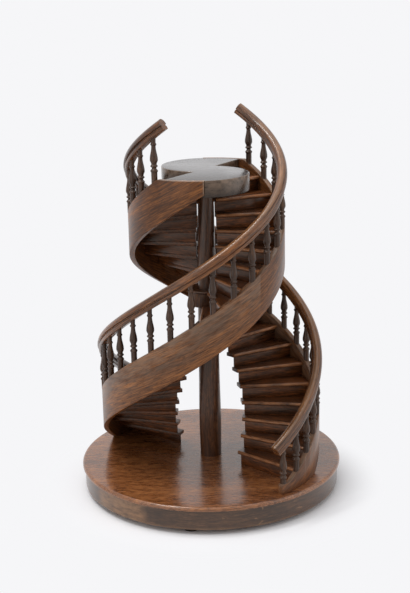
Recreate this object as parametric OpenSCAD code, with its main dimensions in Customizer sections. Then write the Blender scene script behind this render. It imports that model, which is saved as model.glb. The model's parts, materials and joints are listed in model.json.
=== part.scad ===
// Display model of a double spiral staircase, in dark polished wood.
// Two equal flights climb round one turned column, about half a turn apart, from a round base to
// a shared S-shaped landing. All sizes are in millimetres, and the column stands on the Z axis.

/* [Base] */
// Radius of the base cap
base_r = 160.5; // [155:0.5:175]
// Thickness of the base cap
cap_t = 5; // [4.5:0.5:8]
// Radius of the rounded upper edge of the cap
cap_edge_r = 3.2; // [1:0.2:4]
// Height of the drum under the cap
drum_h = 24; // [10:0.5:30]
// How far the side of the drum stands inside the edge of the cap
drum_inset = 3; // [1:0.5:6]
// Height of the small feet under the drum
foot_h = 6; // [3:0.5:12]
// Radius of each foot
foot_r = 9; // [5:0.5:12]
// Radius of the circle that the feet stand on
foot_circle_r = 141; // [100:1:143]
// Number of feet
foot_count = 3; // [3:1:6]
// Azimuth of the first foot
foot_az = 260; // [0:5:355]

/* [Flights] */
// Height from the base to the top of the landing
rise_total = 360; // [340:5:400]
// Number of rises in a flight, the last one up to the landing
riser_count = 20; // [18:1:22]
// Turn of a flight from its first riser to the edge of the landing, in degrees
flight_turn = 280; // [265:0.5:288]
// Azimuth of the first riser of flight A, in degrees
first_az = -43; // [-60:1:0]
// Turn from flight A to flight B, in degrees
flight_apart = 182.5; // [178:0.5:184]

/* [Steps] */
// Thickness of a tread
tread_t = 4.6; // [3.5:0.1:6]
// How far a nosing stands out in front of its riser
nosing_over = 3.6; // [2.5:0.1:5]
// Depth of the rounding of a nosing
nosing_depth = 1.8; // [1:0.1:2.2]
// Thickness of a riser board
riser_t = 2.6; // [2:0.1:4]
// Radius of the open well at the first riser
well_r_foot = 50; // [40:0.5:60]
// Radius of the open well at the edge of the landing
well_r_head = 10.4; // [10.4:0.2:16]
// How far a tread stands past its riser at the well
well_over = 2.4; // [1:0.2:4]

/* [Strings] */
// Outer radius of a string at the first riser
string_r_foot = 147.5; // [135:0.5:148]
// Outer radius of a string at its head
string_r_head = 88; // [80:0.5:96]
// Thickness of a string
string_t = 6.5; // [5:0.25:8]
// Upright height of a string
string_h = 51; // [44:0.5:60]
// Height of a string's top edge over the first tread, at its riser
margin_foot = 11; // [8:0.5:13]
// Height of a string's sloping edge over the landing, at the landing's edge
margin_head = 4.5; // [2:0.5:8]
// Run of a string on the base ahead of the first riser
string_lead = 39; // [36:1:45]
// Height of the level foot of a string
string_foot_h = 12.5; // [9:0.5:16]
// Turn of a string round the landing past its edge, in degrees
string_tail = 32; // [25:1:40]

/* [Balusters] */
// Height of a baluster from string to handrail
baluster_h = 49; // [44:0.5:58]
// Greatest radius of a baluster
baluster_r = 4.6; // [3.8:0.1:5.2]
// Number of balusters in flight A
baluster_count_a = 24; // [15:1:27]
// Number of balusters in flight B
baluster_count_b = 23; // [15:1:27]
// Run from the foot end of a string to the first baluster
baluster_first = 4.5; // [4.5:0.5:8]
// Run from the last baluster to the edge of the landing
baluster_last = 9; // [0:0.5:12]

/* [Handrail] */
// Width of the handrail's rounded crown
rail_w = 12.5; // [10:0.25:15]
// Height of the crown
rail_crown_h = 6.4; // [5:0.2:8]
// Width of the bead under the crown
rail_bead_w = 9.8; // [8.8:0.2:11]
// Height of the bead
rail_bead_h = 4.4; // [3.5:0.2:6]
// Width of the handrail inside the groove between bead and crown
rail_groove_w = 7.4; // [6:0.2:8.4]
// Height of the groove
rail_groove_h = 2.4; // [1.6:0.2:4]
// Run of the handrail below the first baluster
rail_lead = 9; // [5:0.5:12]
// Run of the handrail above the last baluster
rail_tail = 14; // [6:0.5:24]

/* [Landing] */
// Thickness of the landing
landing_t = 19.5; // [18:0.5:24]
// Radius of each round lobe of the landing
lobe_r = 54; // [46:0.5:56]
// Distance of a lobe's centre from the column's axis
lobe_offset = 31; // [24:0.5:33]
// Turn from the edge of the landing to the centre of its lobe, in degrees
lobe_turn = 28; // [20:1:50]

/* [Column] */
// Greatest radius of the column
column_r = 13.6; // [11:0.2:16]
// Radius of the column under the landing
column_r_head = 9.6; // [8:0.2:9.8]
// Radius of the collar on the column, between the two flights
collar_r = 22; // [18:0.2:24]
// Height of the collar with its top plate
collar_h = 21; // [19:0.5:22]
// Thickness of the collar's top plate
collar_plate_t = 4; // [2:0.2:4.4]
// How far the collar's top plate stands past it
collar_over = 1.4; // [0.6:0.2:2.4]
// Number of the tread that the collar's top is level with
collar_step = 12; // [11:1:13]

/* [Fits] */
// Gap between a step and the inner face of its string
step_gap = 0.2; // [0.1:0.05:0.4]
// Gap at each end of a baluster
seat_gap = 0.1; // [0.05:0.05:0.2]

/* [Hidden] */
$fn = 72;

base_z = foot_h + drum_h + cap_t;
drum_r = base_r - drum_inset;
tread_count = riser_count - 1;
rise = rise_total / riser_count;
landing_under = rise_total - landing_t;

// A string follows an inward spiral that eases into a circle at its head.
end_turn = flight_turn + string_tail;
path_r_foot = string_r_foot - string_t / 2;
path_r_head = string_r_head - string_t / 2;
flight_run = path_length(flight_turn);
going = flight_run / tread_count;
slope = (rise_total + margin_head - rise - margin_foot) / flight_run;
pitch = atan(slope);

string_start = -string_lead;
string_end = path_length(end_turn);
// Runs at which a string leaves its level foot, lifts off the base and meets the landing level.
foot_run = run_at_level(string_foot_h);
lift_run = run_at_level(string_h);
level_run = run_at_level(rise_total);
// Longest piece of a string and of a handrail between two sections
string_piece = 6.5;
rail_piece = 7.5;
// Number of straight pieces in the landing's edge along a string
landing_pieces = 16;
// Turn by which each half of the landing laps over the other, in degrees
halves_lap = 15;

first_run = string_start + baluster_first;
last_run = flight_run - baluster_last;

rail_h = rail_bead_h + rail_groove_h + rail_crown_h;
// Wood colours
string_wood = "#6b4531";
rail_wood = "#4a2c1f";
step_wood = "#3f2a20";
base_wood = "#6a3f2b";
turned_wood = "#45301f";
// Size of a cutting block, larger than anything it cuts
block = 2.5 * base_r;

// Names of the steps, with two digits
function tread_name(k) = str("treads_", k < 10 ? "0" : "", k);

// Share of the way still to go from the first riser to the end of the string, at a turn
function left_share(a) = 1 - a / end_turn;
// Path of the middle of a string: radius at a turn, and run up to a turn
function path_r(a) = path_r_head + (path_r_foot - path_r_head) * pow(left_share(a), 2);
function path_length(a) = (path_r_head * a
    + (path_r_foot - path_r_head) * end_turn / 3 * (1 - pow(left_share(a), 3))) * PI / 180;
// Turn at a run, closed in on from a first guess
function closer_turn(s, a, n) =
    n == 0 ? a : closer_turn(s, a + (s - path_length(a)) / path_r(a) * 180 / PI, n - 1);
function path_turn(s) = closer_turn(s, s / path_r_foot * 180 / PI, 8);
// Angle by which the path leans in from a circle at a turn
function path_lean(a) =
    atan(2 * (path_r_foot - path_r_head) * left_share(a) / end_turn * 180 / PI / path_r(a));

// Level of the sloping top edge of a string over the base, and the run where it has a level
function edge_z(s) = rise + margin_foot + slope * s;
function run_at_level(z) = (z - rise - margin_foot) / slope;
function string_top(s) = min(max(edge_z(s), string_foot_h), rise_total);
function string_under(s) = max(edge_z(s) - string_h, 0);

// Turn of the back of riser k, level of tread k, and radius of the open well at a turn
function riser_turn(k) = path_turn((k - 1) * going);
function tread_z(k) = k * rise;
function well_r(a) = well_r_head + (well_r_foot - well_r_head) * pow(1 - a / flight_turn, 2);
// Radius at which a step meets its string
function step_r(a) = path_r(a) - string_t / 2 - step_gap;

function polar(r, a) = [r * cos(a), r * sin(a)];
// Point at radius x along the line at turn a, and y behind it
function behind(a, x, y) = polar(x, a) + polar(y, a + 90);
// Turn and point where the line y behind the line at turn a meets the string
function string_turn(a, y) = a + asin(y / step_r(a));
function on_string(a, y) = polar(step_r(string_turn(a, y)), string_turn(a, y));
// Points along the string from turn a to turn b
function along_string(a, b, n) = [for (i = [0:n]) polar(step_r(a + (b - a) * i / n), a + (b - a) * i / n)];

// Evenly divided stretch from a to b in pieces no longer than p, without its end
function stretch(a, b, p) = let (n = ceil((b - a) / p)) [for (i = [0:n - 1]) a + (b - a) * i / n];

// Smooth turned outline through [height, radius] keys, eased between neighbours
function turned(keys, n) = concat(
    [for (i = [0:len(keys) - 2], j = [0:n - 1])
        let (t = j / n, e = (1 - cos(180 * t)) / 2)
        [keys[i][1] + (keys[i + 1][1] - keys[i][1]) * e, keys[i][0] + (keys[i + 1][0] - keys[i][0]) * t]],
    [[keys[len(keys) - 1][1], keys[len(keys) - 1][0]]]
);

// Faces of a solid swept through m sections of n points each
function swept_faces(m, n) = concat(
    [[for (i = [0:n - 1]) i]],
    [for (j = [0:m - 2], i = [0:n - 1]) [j * n + i, (j + 1) * n + i, j * n + (i + 1) % n]],
    [for (j = [0:m - 2], i = [0:n - 1])
        [j * n + (i + 1) % n, (j + 1) * n + i, (j + 1) * n + (i + 1) % n]],
    [[for (i = [n - 1:-1:0]) (m - 1) * n + i]]
);

// Places flight A, or flight B further round, over the base
module flight(half) {
    rotate([0, 0, first_az + flight_apart * half])
        translate([0, 0, base_z])
            children();
}

module base_cap() {
    color(base_wood)
        translate([0, 0, foot_h + drum_h])
            rotate_extrude() {
                square([base_r - cap_edge_r, cap_t]);
                square([base_r, cap_t - cap_edge_r]);
                translate([base_r - cap_edge_r, cap_t - cap_edge_r])
                    intersection() {
                        circle(r = cap_edge_r);
                        square(cap_edge_r);
                    }
            }
}

module base_drum() {
    color(base_wood)
        translate([0, 0, foot_h])
            cylinder(r = drum_r, h = drum_h);
}

module base_feet() {
    color(turned_wood)
        for (i = [0:foot_count - 1])
            rotate([0, 0, foot_az + 360 * i / foot_count])
                translate([foot_circle_r, 0, 0])
                    cylinder(r = foot_r, h = foot_h);
}

// The column swells a little above its foot and thins towards the landing. A collar with a thin
// plate on top stands between the flights at about half height.
module centre_column() {
    collar_top = tread_z(collar_step);
    keys = [
        [0, column_r * 0.96], [landing_under * 0.12, column_r], [landing_under * 0.35, column_r * 0.93],
        [landing_under, column_r_head]
    ];
    color(string_wood)
        translate([0, 0, base_z])
            rotate_extrude()
                union() {
                    polygon(concat([[0, 0]], turned(keys, 4), [[0, landing_under]]));
                    translate([0, collar_top - collar_h])
                        square([collar_r, collar_h]);
                    translate([0, collar_top - collar_plate_t])
                        square([collar_r + collar_over, collar_plate_t]);
                }
}

// One half of the landing: a round lobe, cut off straight along the edge where the flight arrives
// and where the other half starts, and a wedge that fills the corner between the lobe and the string.
module landing_half(spread) {
    heel = polar(-column_r / 2, flight_turn);
    intersection() {
        union() {
            difference() {
                translate(polar(lobe_offset, flight_turn + lobe_turn))
                    circle(r = lobe_r);
                string_band();
            }
            polygon(concat([[0, 0]], along_string(flight_turn - halves_lap, end_turn, landing_pieces)));
        }
        polygon(concat([heel], [for (i = [0:4]) polar(block, flight_turn + (spread + halves_lap) * i / 4)]));
    }
}

// The band of plan that the string takes up round the landing, with its gap
module string_band() {
    end_gap = step_gap / path_r_head * 180 / PI;
    inside = along_string(flight_turn - string_tail, end_turn + end_gap, landing_pieces);
    polygon(concat(inside, [for (i = [landing_pieces:-1:0]) inside[i] * 1.5]));
}

module top_landing() {
    color(base_wood)
        flight(0)
            translate([0, 0, landing_under])
                linear_extrude(landing_t) {
                    landing_half(flight_apart);
                    rotate(flight_apart)
                        landing_half(360 - flight_apart);
                }
}

// A string is an upright board bent along the spiral. Its top edge starts level on the base,
// climbs with the nosings and ends level round the landing. Its lower edge lifts off the base.
module string_board() {
    runs = concat(
        stretch(string_start, foot_run, string_piece), stretch(foot_run, lift_run, string_piece),
        stretch(lift_run, level_run, string_piece), stretch(level_run, string_end, string_piece),
        [string_end]
    );
    points = [for (s = runs)
        let (a = path_turn(s), ro = path_r(a) + string_t / 2, ri = path_r(a) - string_t / 2)
        each [
            concat(polar(ro, a), string_under(s)), concat(polar(ri, a), string_under(s)),
            concat(polar(ri, a), string_top(s)), concat(polar(ro, a), string_top(s))
        ]];
    polyhedron(points, swept_faces(len(runs), 4));
}

module string_a() {
    color(string_wood)
        flight(0)
            string_board();
}

module string_b() {
    color(string_wood)
        flight(1)
            string_board();
}

// Outline of the handrail across its run, from the middle of its underside: a bead, a groove
// and a rounded crown.
function rail_side() = [
    [rail_bead_w * 0.42, 0], [rail_bead_w / 2, rail_bead_h * 0.28], [rail_bead_w / 2, rail_bead_h * 0.72],
    [rail_groove_w / 2, rail_bead_h], [rail_groove_w / 2, rail_bead_h + rail_groove_h * 0.4]
];
function rail_crown() = [for (t = [0:22.5:180])
    [rail_w / 2 * cos(t), rail_bead_h + rail_groove_h + rail_crown_h * sin(t)]];
function rail_outline() = concat(
    rail_side(), rail_crown(), [for (i = [len(rail_side()) - 1:-1:0]) [-rail_side()[i][0], rail_side()[i][1]]]
);

// The handrail is the outline swept along the spiral, square to its slope.
module rail() {
    runs = concat(stretch(first_run - rail_lead, last_run + rail_tail, rail_piece), [last_run + rail_tail]);
    outline = rail_outline();
    points = [for (s = runs)
        let (a = path_turn(s), lean = path_lean(a), out = a + lean, centre = polar(path_r(a), a))
        for (p = outline)
            let (xy = centre + polar(p[0], out) - polar(p[1] * sin(pitch), out + 90))
            concat(xy, edge_z(s) + baluster_h + p[1] * cos(pitch))];
    polyhedron(points, swept_faces(len(runs), len(outline)));
}

module handrail_a() {
    color(rail_wood)
        flight(0)
            rail();
}

module handrail_b() {
    color(rail_wood)
        flight(1)
            rail();
}

// A turned baluster: plain foot, two rings, a long vase and a small ring under the handrail.
module baluster_blank() {
    slack = baluster_r * 2;
    keys = [
        [-slack, baluster_r * 0.76], [baluster_h * 0.22, baluster_r * 0.76], [baluster_h * 0.265, baluster_r * 0.95],
        [baluster_h * 0.33, baluster_r * 0.55], [baluster_h * 0.375, baluster_r * 0.93],
        [baluster_h * 0.415, baluster_r * 0.66], [baluster_h * 0.52, baluster_r],
        [baluster_h * 0.83, baluster_r * 0.54], [baluster_h * 0.875, baluster_r * 0.76],
        [baluster_h * 0.915, baluster_r * 0.56], [baluster_h + slack, baluster_r * 0.6]
    ];
    rotate_extrude($fn = 32)
        polygon(concat([[0, -slack]], turned(keys, 3), [[0, baluster_h + slack]]));
}

// A baluster between the string's edge and the handrail, both ends cut to the slope, and its
// foot cut level where it stands on the level foot of the string.
module baluster(s) {
    below = max(string_foot_h + seat_gap - edge_z(s), -block);
    difference() {
        intersection() {
            baluster_blank();
            rotate([pitch, 0, 0])
                translate([-block / 2, -block / 2, seat_gap])
                    cube([block, block, baluster_h * cos(pitch) - 2 * seat_gap]);
        }
        if (s < foot_run + baluster_r)
            translate([-block / 2, -block / 2, below - block])
                cube(block);
    }
}

// Evenly spaced balusters from the foot of a flight to its head
module balusters(count) {
    for (i = [0:count - 1])
        let (s = first_run + (last_run - first_run) * i / (count - 1), a = path_turn(s))
            translate(concat(polar(path_r(a), a), edge_z(s)))
                rotate([0, 0, a + path_lean(a)])
                    baluster(s);
}

module balusters_a() {
    color(turned_wood)
        flight(0)
            balusters(baluster_count_a);
}

module balusters_b() {
    color(turned_wood)
        flight(1)
            balusters(baluster_count_b);
}

// Riser k stands on the tread below it, under the nosing of tread k, its back on a line from the axis.
module riser(k) {
    a = riser_turn(k);
    inner = max(well_r(a) + well_over, k == collar_step ? collar_r + step_gap : 0);
    translate([0, 0, tread_z(k - 1)])
        linear_extrude(rise - tread_t)
            polygon([behind(a, inner, -riser_t), on_string(a, -riser_t), on_string(a, 0), behind(a, inner, 0)]);
}

module risers() {
    for (k = [1:tread_count])
        riser(k);
}

module risers_a() {
    color(step_wood)
        flight(0)
            risers();
}

module risers_b() {
    color(step_wood)
        flight(1)
            risers();
}

// Plan of tread k, from ahead of its nosing to the back of the next riser, or to the landing
module tread_plan(k) {
    a = riser_turn(k);
    b = riser_turn(k + 1);
    ahead = -riser_t - nosing_over * 2;
    back = k < tread_count ? 0 : -step_gap;
    polygon(concat(
        [behind(a, well_r(a), ahead)], along_string(string_turn(a, ahead), string_turn(b, back), 4),
        [behind(b, well_r(b), back)]
    ));
}

// Section of a tread along its going: a slab with a rounded nosing
module nosing_section() {
    nose_r = (tread_t * tread_t / 4 + nosing_depth * nosing_depth) / (2 * nosing_depth);
    translate([nosing_depth, 0])
        square([block / 2, tread_t]);
    intersection() {
        translate([nose_r, tread_t / 2])
            circle(r = nose_r);
        square([nosing_depth, tread_t]);
    }
}

// A tread: its plan, with the nosing rounded along the front edge. The highest tread is cut
// round the landing's other lobe, and the two beside the collar are cut round its plate.
module tread(k, other_turn) {
    difference() {
        translate([0, 0, tread_z(k) - tread_t])
            intersection() {
                translate([0, 0, -tread_t])
                    linear_extrude(tread_t * 3)
                        tread_plan(k);
                rotate([90, 0, riser_turn(k) + 90])
                    translate([-riser_t - nosing_over, 0, -block / 2])
                        linear_extrude(block)
                            nosing_section();
            }
        if (k == tread_count)
            translate(concat(polar(lobe_offset, flight_turn + lobe_turn + other_turn), 0))
                cylinder(r = lobe_r + step_gap, h = block * 2);
        if (k == collar_step || k == collar_step - 1)
            cylinder(r = collar_r + collar_over + step_gap, h = block * 2);
    }
}

module treads(k) {
    color(step_wood)
        for (half = [0, 1])
            flight(half)
                tread(k, flight_apart * (1 - 2 * half));
}

base_cap();
base_drum();
base_feet();
centre_column();
top_landing();
string_a();
string_b();
handrail_a();
handrail_b();
balusters_a();
balusters_b();
risers_a();
risers_b();
for (k = [1:tread_count])
    treads(k);
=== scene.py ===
import json
import logging
import math
from dataclasses import dataclass, replace
from enum import Enum
from functools import partial
from typing import Sequence

import bmesh
import bpy
import numpy as np
from mathutils import Matrix, Vector

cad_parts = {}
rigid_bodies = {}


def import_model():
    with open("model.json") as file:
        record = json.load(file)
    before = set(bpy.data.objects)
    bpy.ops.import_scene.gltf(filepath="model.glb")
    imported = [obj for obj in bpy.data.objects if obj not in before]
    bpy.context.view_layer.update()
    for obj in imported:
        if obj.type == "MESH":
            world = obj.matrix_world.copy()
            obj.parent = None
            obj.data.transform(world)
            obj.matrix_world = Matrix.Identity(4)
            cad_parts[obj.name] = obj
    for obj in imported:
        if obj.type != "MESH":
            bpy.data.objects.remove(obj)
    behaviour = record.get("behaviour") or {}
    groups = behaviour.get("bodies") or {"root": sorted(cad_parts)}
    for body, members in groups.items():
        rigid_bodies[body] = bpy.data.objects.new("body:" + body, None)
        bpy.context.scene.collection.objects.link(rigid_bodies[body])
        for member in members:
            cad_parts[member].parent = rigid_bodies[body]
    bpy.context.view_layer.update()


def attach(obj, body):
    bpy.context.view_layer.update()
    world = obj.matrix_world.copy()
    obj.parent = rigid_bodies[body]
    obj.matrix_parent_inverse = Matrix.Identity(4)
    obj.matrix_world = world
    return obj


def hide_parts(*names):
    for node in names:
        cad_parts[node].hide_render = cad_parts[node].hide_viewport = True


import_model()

MM = 0.001
BODY = "root"
PHOTO_LONG_SIDE_PX = 593
SENSOR_MM = 36.0
# Seed of the random shift of the grain from one baluster to the next
SEED = 7
# Points nearer to each other than this, in metres, are one point
MERGE = 1e-6
# Rounds in which the turn at a run is closed in on
TURN_ROUNDS = 8
# How far in millimetres the pattern moves, along and across the grain, for each step of a seed
SOLID_SHIFT = np.array([137.0, 41.0, 23.0])
BOARD_SHIFT = np.array([97.0, 31.0, 53.0])

# Kinds of node that stand in several trees
MATH = "ShaderNodeMath"
MIX = "ShaderNodeMix"
RANGE = "ShaderNodeMapRange"
SPLIT = "ShaderNodeSeparateXYZ"
JOIN = "ShaderNodeCombineXYZ"
NAMED = "GeometryNodeInputNamedAttribute"
STORE = "GeometryNodeStoreNamedAttribute"
PLACE = "GeometryNodeInputPosition"
TO_CURVE = "GeometryNodeMeshToCurve"
REALIZE = "GeometryNodeRealizeInstances"

# Types of a tree's named inputs
NUMBER = "NodeSocketFloat"
WHOLE = "NodeSocketInt"
OBJECT = "NodeSocketObject"
MATERIAL = "NodeSocketMaterial"

log = logging.getLogger("staircase")

Array = np.ndarray
Point = tuple[float, float, float]
Faces = list[tuple[int, ...]]
Outline = list[tuple[float, float]]
Socket = bpy.types.NodeSocket


class Flight(Enum):
    """The two flights of the staircase."""

    A = 0
    B = 1

    @property
    def letter(self) -> str:
        """The flight's letter in the names of its pieces."""
        return self.name.lower()


class GrainAxis(Enum):
    """The way that the grain of a solid piece runs: the axis along it, then the two across."""

    ALONG_X = (0, 1, 2)
    UPRIGHT = (2, 0, 1)


def linear(code: str) -> tuple[float, float, float, float]:
    """Turns an sRGB hex colour into linear RGBA.

    Args:
        code: Colour such as "#6b4531".

    Returns:
        The colour's linear red, green, blue and full alpha.
    """
    values = [int(code[i:i + 2], 16) / 255 for i in (1, 3, 5)]
    curve = [v / 12.92 if v <= 0.04045 else ((v + 0.055) / 1.055) ** 2.4 for v in values]
    return (*curve, 1.0)


def add_node(tree: bpy.types.NodeTree, kind: str, inputs: dict | Sequence = (), output: str | None = None,
             **settings: object) -> Socket | None:
    """Adds a node with its settings, and sets or links its inputs.

    Args:
        tree: Node tree that gets the node.
        kind: The node's type name.
        inputs: Value or output socket for each input, by name or number, or in order.
        output: Name of the output that is wanted, or None for the first live one.
        settings: Properties of the node itself.

    Returns:
        The node's output socket, or None if it has none.
    """
    node = tree.nodes.new(kind)
    for name, value in settings.items():
        setattr(node, name, value)
    for key, value in inputs.items() if isinstance(inputs, dict) else enumerate(inputs):
        live = (s for s in node.inputs if s.enabled and s.name == key)
        socket = node.inputs[key] if isinstance(key, int) else next(live)
        if isinstance(value, Socket):
            tree.links.new(value, socket)
        else:
            socket.default_value = value
    return next((s for s in node.outputs if s.enabled and output in (None, s.name)), None)


@dataclass(frozen=True)
class StairPlan:
    """Sizes of the staircase in millimetres, and the rules that its path follows.

    A run is a length along the middle of a string from the first riser, and a turn is an angle in
    degrees from there. Levels are over the top of the base.
    """

    base_z: float = 35.0
    rise_total: float = 360.0
    riser_count: int = 20
    flight_turn: float = 280.0
    first_az: float = -43.0
    flight_apart: float = 182.5
    tread_t: float = 4.6
    nosing_over: float = 3.6
    nosing_depth: float = 1.8
    riser_t: float = 2.6
    well_r_foot: float = 50.0
    well_r_head: float = 10.4
    well_over: float = 2.4
    string_r_foot: float = 147.5
    string_r_head: float = 88.0
    string_t: float = 6.5
    string_h: float = 51.0
    margin_foot: float = 11.0
    margin_head: float = 4.5
    string_lead: float = 39.0
    string_foot_h: float = 12.5
    string_tail: float = 32.0
    step_gap: float = 0.2
    collar_step: int = 12
    collar_r: float = 22.0
    collar_over: float = 1.4

    @property
    def tread_count(self) -> int:
        """Number of treads in a flight, the landing not counted."""
        return self.riser_count - 1

    @property
    def rise(self) -> float:
        """Height of one step."""
        return self.rise_total / self.riser_count

    @property
    def end_turn(self) -> float:
        """Turn at which a string ends."""
        return self.flight_turn + self.string_tail

    @property
    def end_run(self) -> float:
        """Run at which a string ends."""
        return float(self.run(self.end_turn))

    @property
    def mid_foot(self) -> float:
        """Radius of the middle of a string at the first riser."""
        return self.string_r_foot - self.string_t / 2

    @property
    def mid_head(self) -> float:
        """Radius of the middle of a string at its head."""
        return self.string_r_head - self.string_t / 2

    @property
    def flight_run(self) -> float:
        """Run of a flight up to the landing's edge."""
        return float(self.run(self.flight_turn))

    @property
    def going(self) -> float:
        """Run of one step."""
        return self.flight_run / self.tread_count

    @property
    def edge_start(self) -> float:
        """Level of a string's sloping top edge at the first riser."""
        return self.rise + self.margin_foot

    @property
    def slope(self) -> float:
        """Climb of a string's top edge for its run."""
        return (self.rise_total + self.margin_head - self.edge_start) / self.flight_run

    @property
    def levels(self) -> dict[str, float]:
        """Inputs, in metres, of the node trees that follow a string's top edge."""
        return {"Start level": self.edge_start * MM, "Slope": self.slope, "Foot level": self.string_foot_h * MM,
                "Head level": self.rise_total * MM, "Base level": self.base_z * MM}

    def radius(self, turn: Array | float) -> Array | float:
        """Gives the radius of the middle of a string at a turn."""
        return self.mid_head + (self.mid_foot - self.mid_head) * (1 - turn / self.end_turn) ** 2

    def run(self, turn: Array | float) -> Array | float:
        """Gives the run up to a turn."""
        eased = (self.mid_foot - self.mid_head) * self.end_turn / 3 * (1 - (1 - turn / self.end_turn) ** 3)
        return (self.mid_head * turn + eased) * math.pi / 180

    def turn(self, run: Array | float) -> Array | float:
        """Gives the turn at a run, closed in on from a first guess.

        Args:
            run: One run or more.

        Returns:
            The turn at each.
        """
        turn = run / self.mid_foot * 180 / math.pi
        for _ in range(TURN_ROUNDS):
            turn = turn + (run - self.run(turn)) / self.radius(turn) * 180 / math.pi
        return turn

    def riser_turn(self, k: int) -> float:
        """Gives the turn of the back of riser k."""
        return float(self.turn((k - 1) * self.going))

    def well_r(self, turn: float) -> float:
        """Gives the radius of the open well at a turn."""
        return self.well_r_head + (self.well_r_foot - self.well_r_head) * (1 - turn / self.flight_turn) ** 2

    def step_r(self, turn: Array | float) -> Array | float:
        """Gives the radius at which a step meets its string."""
        return self.radius(turn) - self.string_t / 2 - self.step_gap

    def string_turn(self, turn: float, back: float) -> float:
        """Gives the turn at which the line a distance behind the line at a turn meets the string."""
        return turn + math.degrees(math.asin(back / self.step_r(turn)))

    def azimuth(self, flight: Flight) -> float:
        """Gives the azimuth of a flight's first riser in degrees."""
        return self.first_az + self.flight_apart * flight.value

    def path(self, start: float, end: float, piece: float) -> tuple[Array, Array]:
        """Gives points along the middle of a string.

        Args:
            start: Run of the first point.
            end: Run of the last point.
            piece: Longest run between two points.

        Returns:
            The runs, and the points in plan, one row each, with flight A's first riser on the X axis.
        """
        runs = np.linspace(start, end, int(math.ceil((end - start) / piece)) + 1)
        turns = np.radians(self.turn(runs))
        radii = self.radius(np.degrees(turns))
        return runs, np.stack([radii * np.cos(turns), radii * np.sin(turns)], -1)


def polar(radius: float, turn: float) -> Array:
    """Gives a point in plan from its radius and its angle in degrees."""
    return radius * np.array([math.cos(math.radians(turn)), math.sin(math.radians(turn))])


def behind(turn: float, along: float, back: float) -> Array:
    """Gives the point at a distance along the line at a turn, and a distance behind it."""
    return polar(along, turn) + polar(back, turn + 90)


def rotated(points: Array, azimuth: float, lift: float) -> Array:
    """Turns points about the Z axis and lifts them.

    Args:
        points: The points, one row each.
        azimuth: Angle in degrees.
        lift: Height that is added.

    Returns:
        The moved points.
    """
    c, s = math.cos(math.radians(azimuth)), math.sin(math.radians(azimuth))
    x, y, z = points.T
    return np.stack([c * x - s * y, s * x + c * y, z + lift], -1)


def turned(keys: Sequence[tuple[float, float]], pieces: int) -> Outline:
    """Makes a smooth turned outline through keys.

    Args:
        keys: Height and radius of each key, from the bottom up.
        pieces: Number of pieces between two keys.

    Returns:
        Radius and height of each point of the outline.
    """
    points = []
    for (z0, r0), (z1, r1) in zip(keys, keys[1:]):
        for j in range(pieces):
            t = j / pieces
            ease = (1 - math.cos(math.pi * t)) / 2
            points.append((r0 + (r1 - r0) * ease, z0 + (z1 - z0) * t))
    points.append((keys[-1][1], keys[-1][0]))
    return points


def rounded_corner(radius: float, pieces: int) -> Outline:
    """Gives a quarter circle from (radius, 0) to (0, radius), about the origin."""
    return [(radius * math.cos(i / pieces * math.pi / 2), radius * math.sin(i / pieces * math.pi / 2))
            for i in range(pieces + 1)]


def eased_foot(radius: float, level: float, ease: float, pieces: int) -> Outline:
    """Gives the rounded lower edge of a turned piece, from its underside up."""
    corner = reversed(rounded_corner(ease, pieces))
    return [(radius - ease + x, level + ease - y) for x, y in corner]


def lathe(outline: Sequence[tuple[float, float]], segments: int) -> tuple[Array, Faces]:
    """Turns an outline about the Z axis into a closed shape.

    Args:
        outline: Radius and height of each point, from the bottom up, none on the axis.
        segments: Number of pieces round the axis.

    Returns:
        The points and faces.
    """
    angles = np.arange(segments) * 2 * math.pi / segments
    ring = np.stack([np.cos(angles), np.sin(angles)], -1)
    points = np.concatenate([np.column_stack([ring * r, np.full(segments, z)]) for r, z in outline])
    faces = []
    for j in range(len(outline) - 1):
        for i in range(segments):
            a, b = j * segments + i, j * segments + (i + 1) % segments
            faces.append((a, b, b + segments, a + segments))
    faces.append(tuple(reversed(range(segments))))
    faces.append(tuple((len(outline) - 1) * segments + i for i in range(segments)))
    return points, faces


def prism(outline: Sequence[Array], low: float, high: float) -> tuple[Array, Faces]:
    """Makes a closed upright shape from its outline in plan.

    Args:
        outline: Points in plan, in order.
        low: Level of its underside.
        high: Level of its top.

    Returns:
        The points and faces.
    """
    count = len(outline)
    points = np.array([[*p, low] for p in outline] + [[*p, high] for p in outline])
    faces = [tuple(reversed(range(count))), tuple(range(count, 2 * count))]
    faces += [(i, (i + 1) % count, count + (i + 1) % count, count + i) for i in range(count)]
    return points, faces


def bevelled(points: Array, faces: Faces, width: float, segments: int = 2,
             over_deg: float = 50.0) -> tuple[Array, Faces]:
    """Rounds the sharp edges of a closed shape.

    Args:
        points: The shape's points in millimetres.
        faces: The shape's faces.
        width: Width of the rounding.
        segments: Number of strips in the rounding.
        over_deg: Angle between faces over which an edge is rounded.

    Returns:
        The new points and faces.
    """
    work = bmesh.new()
    made = [work.verts.new(p) for p in points]
    for face in faces:
        work.faces.new([made[i] for i in face])
    bmesh.ops.recalc_face_normals(work, faces=work.faces)
    sharp = math.radians(over_deg)
    edges = [e for e in work.edges if len(e.link_faces) == 2 and e.calc_face_angle() > sharp]
    bmesh.ops.bevel(work, geom=edges, offset=width, offset_type="OFFSET", segments=segments, profile=0.5,
                    affect="EDGES", clamp_overlap=True)
    work.verts.index_update()
    result = np.array([v.co[:] for v in work.verts])
    loops = [tuple(v.index for v in f.verts) for f in work.faces]
    work.free()
    return result, loops


def grain_of(points: Array, axis: GrainAxis, seed: float) -> Array:
    """Gives the grain's place for points of a solid piece.

    Args:
        points: Points in millimetres.
        axis: The way that the grain runs.
        seed: Number that moves the pattern from one board to the next.

    Returns:
        Distance along the grain and two distances across it, for each point.
    """
    return points[:, axis.value] + SOLID_SHIFT * seed


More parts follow.
